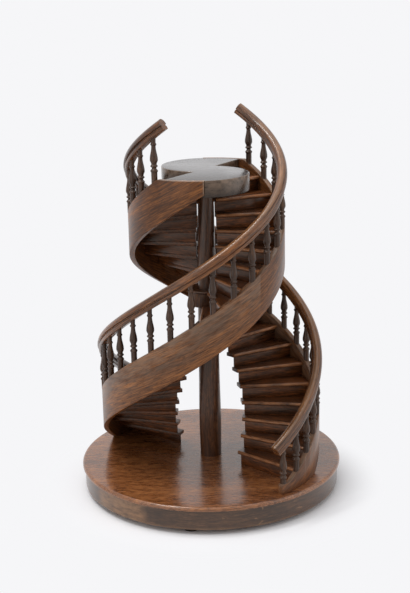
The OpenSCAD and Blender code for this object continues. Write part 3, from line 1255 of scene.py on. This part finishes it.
@dataclass
class Handrails:
    """Moulded handrails: a rounded crown over a groove and a bead. Sizes in millimetres."""

    shop: Workshop
    plan: StairPlan
    baluster_h: float
    first_run: float
    last_run: float
    width: float = 12.5
    crown_h: float = 6.4
    # Angle in radians by which the crown wraps round past its widest point
    crown_wrap: float = 0.12
    crown_points: int = 21
    bead_w: float = 9.8
    bead_h: float = 4.4
    # Shares of the bead's width: half of its underside, and its bulge
    bead_under: float = 0.42
    bead_bulge: float = 0.08
    # Angle in radians that is left off the bulge at each end
    bead_ease: float = 0.35
    bead_points: int = 7
    groove_w: float = 7.4
    groove_h: float = 2.4
    # Share of the groove's height that its upright neck takes
    groove_share: float = 0.4
    # Length of the rail before the first baluster and past the last
    lead: float = 9.0
    tail: float = 14.0
    # Longest run between two points of the line
    piece: float = 2.5
    # Share of the crown's height above which it is rubbed pale, which also paints a highlight along the crown
    crest_share: float = 0.8
    crest_wear: float = 0.35
    sharp_deg: float = 50.0

    def section(self) -> bpy.types.Object:
        """Makes the rail's moulded section.

        Returns:
            The section, as a closed line.
        """
        under, bulge, neck = self.bead_w * self.bead_under, self.bead_w * self.bead_bulge, self.groove_w / 2
        bead = [(under + bulge * math.sin(t), self.bead_h * (0.5 - 0.5 * math.cos(t)))
                for t in np.linspace(self.bead_ease, math.pi - self.bead_ease, self.bead_points)]
        groove = [(neck, self.bead_h), (neck, self.bead_h + self.groove_h * self.groove_share)]
        half = [(under, 0.0), *bead, *groove]
        base = self.bead_h + self.groove_h
        crown = [(self.width / 2 * math.cos(t), base + self.crown_h * math.sin(t))
                 for t in np.linspace(-self.crown_wrap, math.pi + self.crown_wrap, self.crown_points)]
        # A sweep lays the section's +Y downwards, so the section is drawn turned half round
        return section_object(half + crown + [(-x, y) for x, y in reversed(half)], turned_round=True)

    def tree(self) -> PathTree:
        """Builds the tree that sweeps the section along the rail's line.

        Returns:
            The tree.
        """
        made = PathTree("moulded_rail", {"Section": OBJECT, "Material": MATERIAL})
        names = ("run", "across", "up")
        run, across, up = (made.add(NAMED, {"Name": name}, data_type="FLOAT") for name in names)
        # The crown's top is drawn paler: rubbed stain and painted highlight
        crest_from = (self.bead_h + self.groove_h + self.crown_h * self.crest_share) * MM
        worn_lit_crest = made.add(MATH, (up, crest_from), operation="GREATER_THAN")
        wear = made.add(MATH, (worn_lit_crest, self.crest_wear), operation="MULTIPLY")
        made.close(made.swept(), (run, across, up), wear)
        return made

    def build(self) -> None:
        """Makes both handrails."""
        plan = self.plan
        made = self.tree()
        section = self.section()
        start, end = self.first_run - self.lead, self.last_run + self.tail
        level = plan.base_z + plan.edge_start + self.baluster_h
        for flight in Flight:
            line = flight_line(plan, flight, start, end, self.piece, level, plan.slope)
            piece = made.run(line, {"Section": section, "Material": self.shop.material(RAIL_WOOD)},
                             f"moulded_handrail_{flight.letter}", self.sharp_deg)
            self.shop.place(piece, RAIL_WOOD, "handrail", [f"handrail_{flight.letter}"])
        bpy.data.objects.remove(section)


@dataclass
class Balusters:
    """Turned balusters on the strings' top edges. Sizes in millimetres."""

    shop: Workshop
    plan: StairPlan
    height: float = 49.0
    radius: float = 4.6
    # Share of the height and of the radius at each key of the turning
    keys: tuple[tuple[float, float], ...] = (
        (0.18, 0.76), (0.22, 0.76), (0.265, 0.95), (0.33, 0.55), (0.375, 0.93), (0.415, 0.66), (0.52, 1.0),
        (0.83, 0.54), (0.875, 0.76), (0.915, 0.56), (0.93, 0.57))
    key_pieces: int = 5
    foot_share: float = 0.76
    head_share: float = 0.6
    # Run from the string's foot to the first baluster, and from the last one to the landing
    first: float = 4.5
    last: float = 9.0
    counts: tuple[int, int] = (24, 23)
    segments: int = 20
    # Length of the line past the first and last baluster, and between its points
    margin: float = 2.0
    piece: float = 1.0
    # How far the grain is shifted across from one baluster to the next, for each metre along
    grain_shift: tuple[float, float] = (0.9, 0.4)
    sharp_deg: float = 60.0

    @property
    def first_run(self) -> float:
        """Run at which the first baluster stands."""
        return self.first - self.plan.string_lead

    @property
    def last_run(self) -> float:
        """Run at which the last baluster stands."""
        return self.plan.flight_run - self.last

    def turning(self) -> bpy.types.Object:
        """Turns one baluster, its end rings marked so that the tree can cut them to the slope.

        Returns:
            The baluster, upright at the origin.
        """
        h, r = self.height, self.radius
        shaft = turned([(up * h, share * r) for up, share in self.keys], self.key_pieces)
        points, faces = lathe([(self.foot_share * r, 0.0), *shaft, (self.head_share * r, h)], self.segments)
        mesh = plain_mesh("baluster", points * MM, faces)
        for name, level in (("foot", 0.0), ("head", h)):
            write_number(mesh, name, np.abs(points[:, 2] - level) < MERGE)
        return linked("baluster", mesh)

    def tree(self) -> PathTree:
        """Builds the tree that stands balusters along a string and cuts their ends to it.

        Returns:
            The tree.
        """
        lengths = ("First", "Last", "Height", *self.plan.levels)
        made = PathTree("balusters_on_string", {
            **dict.fromkeys(lengths, NUMBER), "Turning": OBJECT, "Count": WHOLE, "Seed": WHOLE,
            "Material": MATERIAL})
        add = made.add
        line = add(TO_CURVE, {"Mesh": made.given("Line")})
        # Inputs 4 and 5 are the lengths at which the line starts and ends
        line = add("GeometryNodeTrimCurve", {"Curve": line, 4: made.given("First"), 5: made.given("Last")},
                   mode="LENGTH")
        points = add("GeometryNodeCurveToPoints", {"Curve": line, "Count": made.given("Count")}, "Points",
                     mode="COUNT")
        tangent = points.node.outputs["Tangent"]
        # Inputs 2 and 3 are the least and the greatest number
        draw = add("FunctionNodeRandomValue", {2: 0.0, 3: 1.0, "Seed": made.given("Seed")}, data_type="FLOAT")
        for name, value, kind in (("heading", tangent, "FLOAT_VECTOR"), ("centre", add(PLACE), "FLOAT_VECTOR"),
                                  ("luck", draw, "FLOAT")):
            points = add(STORE, {"Geometry": points, "Name": name, "Value": value}, data_type=kind,
                         domain="POINT")
        turning = add("GeometryNodeObjectInfo", {"Object": made.given("Turning")}, "Geometry")
        stood = add("GeometryNodeInstanceOnPoints", {"Points": points, "Instance": turning})
        stood = add(REALIZE, {"Geometry": stood})

        heading, centre = (
            add(NAMED, {"Name": name}, data_type="FLOAT_VECTOR") for name in ("heading", "centre"))
        run, foot, head, luck = (
            add(NAMED, {"Name": name}, data_type="FLOAT") for name in ("run", "foot", "head", "luck"))
        position = add(PLACE)
        _, _, up = add(SPLIT, (position,)).node.outputs
        aside = add("ShaderNodeVectorMath", (position, centre), operation="SUBTRACT")
        onward = add("ShaderNodeVectorMath", (aside, heading), "Value", operation="DOT_PRODUCT")
        edge_mid, _ = made.top_edge(run)
        edge_here, string_top = made.top_edge(add(MATH, (run, onward), operation="ADD"))
        rail_under = add(MATH, (edge_here, made.given("Height")), operation="ADD")
        level = add(MATH, (edge_mid, up), operation="ADD")
        level = add(MIX, {"Factor": foot, "A": level, "B": string_top})
        level = add(MIX, {"Factor": head, "A": level, "B": rail_under})
        x, y, _ = add(SPLIT, (aside,)).node.outputs
        along = add(MATH, (up, luck), operation="ADD")
        across, depth = (add(MATH, (luck, shift, part), operation="MULTIPLY_ADD")
                         for part, shift in zip((x, y), self.grain_shift))
        made.close(stood, (along, across, depth), 0.0, level)
        return made

    def build(self) -> None:
        """Makes the balusters of both flights."""
        plan, margin = self.plan, self.margin
        made = self.tree()
        turning = self.turning()
        for flight in Flight:
            line = flight_line(plan, flight, self.first_run - margin, self.last_run + margin, self.piece)
            piece = made.run(line, {
                "Turning": turning, "Count": self.counts[flight.value], "First": margin * MM,
                "Last": (margin + self.last_run - self.first_run) * MM, "Height": self.height * MM,
                **plan.levels, "Seed": SEED + flight.value, "Material": self.shop.material(BALUSTER_WOOD)},
                f"turned_balusters_{flight.letter}", self.sharp_deg)
            self.shop.place(piece, BALUSTER_WOOD, "baluster", [f"balusters_{flight.letter}"])
        bpy.data.objects.remove(turning)


@dataclass
class Steps:
    """Treads with rounded nosings, and the riser boards under them. Sizes in millimetres."""

    shop: Workshop
    plan: StairPlan
    landing: Landing
    # Number of parts along a tread, from the well to the string
    stations: int = 10
    nose_points: int = 9
    # Distance from the back of the nosing's rounding to the first points behind it
    nose_back: float = 1.2
    # Shares of the way from the nosing to the back edge at which a tread has points
    depth_shares: tuple[float, ...] = (0.0, 0.34, 0.67, 1.0)
    tread_edge_r: float = 0.45
    riser_edge_r: float = 0.25
    # The risers after the first of these run in towards the column, up to the second
    inward_from: int = 12
    inward_to: int = 17
    # Distance behind the nosing's front over which it is worn pale, which also paints the highlight on its
    # rounded edge
    wear_depth: float = 2.6
    lobe_points: int = 96
    collar_points: int = 160
    # How far a cutter reaches over and under the treads' tops
    cut_reach: float = 30.0
    # Numbers that keep the grain of the flights, and of treads and risers, apart
    flight_seed: int = 30
    riser_seed: int = 60
    sharp_deg: float = 35.0

    def tread_section(self) -> list[Point]:
        """Gives a tread's section as a loop.

        Returns:
            For each point its distance behind the nosing, its share of the way from there to the
            back edge, and its height.
        """
        plan = self.plan
        reach = (plan.tread_t ** 2 / 4 + plan.nosing_depth ** 2) / (2 * plan.nosing_depth)
        open_angle = math.acos(1 - plan.nosing_depth / reach)
        nose = [(reach - reach * math.cos(t), 0.0, plan.tread_t / 2 + reach * math.sin(t))
                for t in np.linspace(-open_angle, open_angle, self.nose_points)]
        depth = plan.nosing_depth + self.nose_back
        under = [(depth, share, 0.0) for share in reversed(self.depth_shares)]
        over = [(depth, share, plan.tread_t) for share in self.depth_shares]
        return under + nose + over

    def tread(self, k: int) -> tuple[Array, Faces]:
        """Makes tread k of a flight, its first riser on the X axis.

        Args:
            k: Number of the tread from the base up.

        Returns:
            Its points and faces.
        """
        plan = self.plan
        a, b = plan.riser_turn(k), plan.riser_turn(k + 1)
        front = -plan.riser_t - plan.nosing_over
        back = 0.0 if k < plan.tread_count else -plan.step_gap
        inner_front = behind(a, plan.well_r(a), front)
        inner_back = behind(b, plan.well_r(b), back)
        depth_in = float((inner_back - inner_front) @ polar(1.0, a + 90))
        outer_back = plan.string_turn(b, back)
        section = self.tread_section()
        points = []
        for d, share, z in section:
            v = d / depth_in
            inner = inner_front + (inner_back - inner_front) * (v + (1 - v) * share)
            near = plan.string_turn(a, front + d)
            turn = near + (outer_back - near) * share
            outer = polar(plan.step_r(turn), turn)
            for i in range(self.stations + 1):
                points.append([*(inner + (outer - inner) * i / self.stations), z])
        n, m = len(section), self.stations + 1
        faces = [(j * m + i, j * m + i + 1, (j + 1) % n * m + i + 1, (j + 1) % n * m + i)
                 for j in range(n) for i in range(self.stations)]
        faces.append(tuple(j * m for j in range(n)))
        faces.append(tuple(j * m + self.stations for j in reversed(range(n))))
        return np.array(points), faces

    def riser(self, k: int) -> tuple[Array, Faces]:
        """Makes riser k of a flight, its first riser on the X axis.

        Args:
            k: Number of the riser from the base up.

        Returns:
            Its points and faces.
        """
        plan = self.plan
        a = plan.riser_turn(k)
        # The highest risers run in to the column, which they pass closely
        inward = (self.inward_to - k) / (self.inward_to - self.inward_from)
        inner = plan.well_r(a) + plan.well_over * min(1.0, max(0.0, inward))
        if k == plan.collar_step:
            inner = max(inner, plan.collar_r + plan.step_gap)
        front, back = (plan.string_turn(a, y) for y in (-plan.riser_t, 0.0))
        corners = [behind(a, inner, -plan.riser_t), polar(plan.step_r(front), front),
                   polar(plan.step_r(back), back), behind(a, inner, 0.0)]
        return prism(corners, plan.rise * (k - 1), plan.rise * k - plan.tread_t)

    def board_grain(self, points: Array, turn: float, seed: float) -> Array:
        """Gives the grain of a board that runs along the line at a turn.

        Args:
            points: The board's points, with the flight's first riser on the X axis.
            turn: The turn.
            seed: Number that moves the pattern from one board to the next.

        Returns:
            Distance along the grain and two distances across it, for each point.
        """
        along, across = polar(1.0, turn), polar(1.0, turn + 90)
        place = np.stack([points[:, :2] @ along, points[:, :2] @ across, points[:, 2]], -1)
        return place + BOARD_SHIFT * seed

    def tread_board(self, k: int, flight: Flight) -> Board:
        """Puts tread k in its place, with wear and a painted highlight along its nosing.

        Args:
            k: Number of the tread from the base up.
            flight: Its flight.

        Returns:
            The tread.
        """
        plan = self.plan
        points, faces = bevelled(*self.tread(k), self.tread_edge_r)
        turn = plan.riser_turn(k)
        # Pale along the top of the nosing: worn stain, and painted highlight on the rounded edge
        behind_nosing = points[:, :2] @ polar(1.0, turn + 90) + plan.riser_t + plan.nosing_over
        wear = np.clip(1 - behind_nosing / self.wear_depth, 0, 1) * np.clip(points[:, 2] / plan.tread_t, 0, 1)
        grain = self.board_grain(points, turn, k + self.flight_seed * flight.value)
        lift = plan.base_z + plan.rise * k - plan.tread_t
        return Board(rotated(points, plan.azimuth(flight), lift), faces, grain, wear)

    def riser_board(self, k: int, flight: Flight) -> Board:
        """Puts riser k in its place.

        Args:
            k: Number of the riser from the base up.
            flight: Its flight.

        Returns:
            The riser.
        """
        plan = self.plan
        points, faces = bevelled(*self.riser(k), self.riser_edge_r)
        seed = self.riser_seed + k + self.flight_seed * flight.value
        grain = self.board_grain(points, plan.riser_turn(k), seed)
        return Board(rotated(points, plan.azimuth(flight), plan.base_z), faces, grain)

    def cut_through(self, piece: bpy.types.Object, outline: Sequence[Array], level: float) -> None:
        """Cuts an upright opening through treads.

        Args:
            piece: The treads.
            outline: The opening's outline in plan.
            level: Level of the treads' tops.
        """
        middle = self.plan.base_z + level
        points, faces = prism(outline, middle - self.cut_reach, middle + self.cut_reach)
        cutter = linked("cutter", plain_mesh("cutter", points * MM, faces))
        modifier = piece.modifiers.new("cut", "BOOLEAN")
        modifier.operation = "DIFFERENCE"
        modifier.solver = "EXACT"
        modifier.object = cutter
        piece.data = settled(piece, modifier)
        bpy.data.objects.remove(cutter)

    def fit_tread(self, piece: bpy.types.Object, k: int) -> None:
        """Cuts the highest treads round the landing's lobes, and those beside the collar round its plate.

        Args:
            piece: The pair of treads.
            k: Their number from the base up.
        """
        plan, land = self.plan, self.landing
        level = plan.rise * k
        if k == plan.tread_count:
            for flight, spread in ((Flight.A, plan.flight_apart), (Flight.B, 360 - plan.flight_apart)):
                start = plan.azimuth(flight) + plan.flight_turn
                turns = np.linspace(start, start + spread, self.lobe_points)
                lobe = [polar(land.lobe_reach(start + land.lobe_turn, t, plan.step_gap), t) for t in turns]
                self.cut_through(piece, [np.zeros(2), *lobe], level)
        if k in (plan.collar_step - 1, plan.collar_step):
            radius = plan.collar_r + plan.collar_over + plan.step_gap
            turns = np.arange(self.collar_points) * 360 / self.collar_points
            self.cut_through(piece, [polar(radius, t) for t in turns], level)

    def build(self) -> None:
        """Makes the treads, one pair a piece, and the risers, one flight a piece."""
        numbers = range(1, self.plan.tread_count + 1)
        for k in numbers:
            boards = [self.tread_board(k, flight) for flight in Flight]
            piece = piece_of(f"tread_pair_{k:02d}", boards, self.sharp_deg)
            self.fit_tread(piece, k)
            self.shop.place(piece, STEP_WOOD, "step", [f"treads_{k:02d}"])
        for flight in Flight:
            boards = [self.riser_board(k, flight) for k in numbers]
            piece = piece_of(f"riser_boards_{flight.letter}", boards, self.sharp_deg)
            self.shop.place(piece, STEP_WOOD, "step", [f"risers_{flight.letter}"])


@dataclass(frozen=True)
class Lamp:
    """A soft area lamp. Lengths in metres, power in watts."""

    name: str
    at: Point
    # The way that its first side runs, roughly
    along: Point
    size: tuple[float, float]
    watts: float

    def build(self, aim: Point) -> None:
        """Makes the lamp.

        Args:
            aim: The place that it shines at.
        """
        data = bpy.data.lights.new(self.name, "AREA")
        data.shape = "RECTANGLE"
        data.size, data.size_y = self.size
        data.energy = self.watts
        back = (Vector(self.at) - Vector(aim)).normalized()
        upward = back.cross(Vector(self.along)).normalized()
        turn = Matrix((upward.cross(back), upward, back)).transposed().to_4x4()
        linked(self.name, data).matrix_world = Matrix.Translation(self.at) @ turn


# The side softboxes are wide enough to mirror no brighter than the backdrop. The strip, from the
# front left to overhead, draws the long light along the handrails.
LAMPS = (
    Lamp("overhead_softbox", at=(-0.1, 0.0, 1.6), along=(1.0, 0.0, 0.0), size=(1.8, 1.8), watts=12.5),
    Lamp("left_softbox", at=(-1.0, -1.1, 0.6), along=(1.0, -1.0, 0.0), size=(1.4, 1.4), watts=5.0),
    Lamp("right_softbox", at=(1.3, -0.4, 0.6), along=(0.0, 1.0, 0.0), size=(1.4, 1.4), watts=5.5),
    Lamp("overhead_strip", at=(-0.65, -0.15, 1.9), along=(0.7, 0.8, 0.0), size=(1.2, 0.14), watts=16.0),
)


@dataclass
class Studio:
    """Pale floor, soft lights and the camera. Lengths in metres."""

    backdrop: str = "#f6f6f8"
    # Strength of the world for rays that only light the object
    ambient: float = 0.32
    floor_r: float = 6.0
    floor_t: float = 0.01
    floor_segments: int = 96
    floor_roughness: float = 0.8
    floor_specular: float = 0.1
    # Distances from the axis between which the floor fades into the background
    fade_from: float = 0.145
    fade_to: float = 0.215
    camera_at: Point = (0.0, -1.4, 0.62026)
    pitch_deg: float = 15.238
    yaw_deg: float = -0.133
    roll_deg: float = -1.272
    focal_px: float = 1196.5
    clip_end: float = 50.0
    # The place that the lamps shine at
    aim: Point = (0.0, 0.0, 0.2)

    def camera(self) -> None:
        """Makes the camera at the photograph's viewing angle."""
        pitch, yaw, roll = (math.radians(v) for v in (self.pitch_deg, self.yaw_deg, self.roll_deg))
        ahead = Vector((math.sin(yaw) * math.cos(pitch), math.cos(yaw) * math.cos(pitch), -math.sin(pitch)))
        right = Vector((math.cos(yaw), -math.sin(yaw), 0.0))
        up = right.cross(ahead)
        right, up = (math.cos(roll) * right + math.sin(roll) * up, math.cos(roll) * up - math.sin(roll) * right)
        data = bpy.data.cameras.new("camera")
        data.sensor_fit = "AUTO"
        data.sensor_width = SENSOR_MM
        data.lens = self.focal_px * SENSOR_MM / PHOTO_LONG_SIDE_PX
        data.clip_end = self.clip_end
        camera = linked("camera", data)
        turn = Matrix((right, up, -ahead)).transposed().to_4x4()
        camera.matrix_world = Matrix.Translation(self.camera_at) @ turn
        bpy.context.scene.camera = camera

    def seen_rays(self, tree: bpy.types.NodeTree) -> Socket:
        """Tells the rays that show the background: camera, glossy and transmission rays.

        Args:
            tree: Node tree of the floor or the world.

        Returns:
            1 for such a ray, else 0.
        """
        rays = add_node(tree, "ShaderNodeLightPath").node.outputs
        seen = rays["Is Camera Ray"]
        for name in ("Is Glossy Ray", "Is Transmission Ray"):
            seen = add_node(tree, MATH, (seen, rays[name]), operation="MAXIMUM")
        return seen

    def world(self) -> None:
        """Makes a pale world that lights the object softly."""
        world = bpy.data.worlds.new("studio_world")
        world.use_nodes = True
        bpy.context.scene.world = world
        tree = world.node_tree
        tree.nodes.clear()
        strength = add_node(tree, MIX, {"Factor": self.seen_rays(tree), "A": self.ambient, "B": 1.0})
        glow = add_node(tree, "ShaderNodeBackground", {"Color": linear(self.backdrop), "Strength": strength})
        add_node(tree, "ShaderNodeOutputWorld", {"Surface": glow})

    def floor(self) -> None:
        """Makes a pale floor that keeps the object's shadow and fades into the background."""
        points, faces = lathe([(self.floor_r, -self.floor_t), (self.floor_r, 0.0)], self.floor_segments)
        mesh = plain_mesh("floor", points, faces)
        # Matt painted board: nearly white, with the object's soft shadow and no mirror image
        material = bpy.data.materials.new("matt_painted_floor_board")
        material.use_nodes = True
        tree = material.node_tree
        tree.nodes.clear()
        add = partial(add_node, tree)
        pale = linear(self.backdrop)
        board = add("ShaderNodeBsdfPrincipled", {
            "Base Color": pale, "Roughness": self.floor_roughness, "Specular IOR Level": self.floor_specular})
        glow = add("ShaderNodeEmission", {"Color": pale, "Strength": 1.0})
        place = add("ShaderNodeTexCoord", output="Object")
        reach = add("ShaderNodeVectorMath", (place,), "Value", operation="LENGTH")
        far = add(RANGE, {"Value": reach, "From Min": self.fade_from, "From Max": self.fade_to, "To Min": 0.0,
                          "To Max": 1.0}, interpolation_type="SMOOTHSTEP")
        factor = add(MATH, (far, self.seen_rays(tree)), operation="MULTIPLY")
        mixed = add("ShaderNodeMixShader", (factor, board, glow))
        add("ShaderNodeOutputMaterial", {"Surface": mixed})
        mesh.materials.append(material)
        linked("floor", mesh)

    def build(self) -> None:
        """Makes the camera, the world, the floor and the lamps."""
        self.camera()
        self.world()
        self.floor()
        for lamp in LAMPS:
            lamp.build(self.aim)
        bpy.context.scene.view_settings.view_transform = "Standard"


def main() -> None:
    """Builds the staircase model and the studio round it."""
    logging.basicConfig(level=logging.INFO, format="%(name)s: %(message)s")
    Studio().build()
    shop = Workshop()
    plan = StairPlan()
    landing = Landing(shop, plan)
    balusters = Balusters(shop, plan)
    Base(shop).build()
    Column(shop, plan, landing.thickness).build()
    landing.build()
    Strings(shop, plan).build()
    balusters.build()
    Handrails(shop, plan, balusters.height, balusters.first_run, balusters.last_run).build()
    Steps(shop, plan, landing).build()


if __name__ == "__main__":
    main()
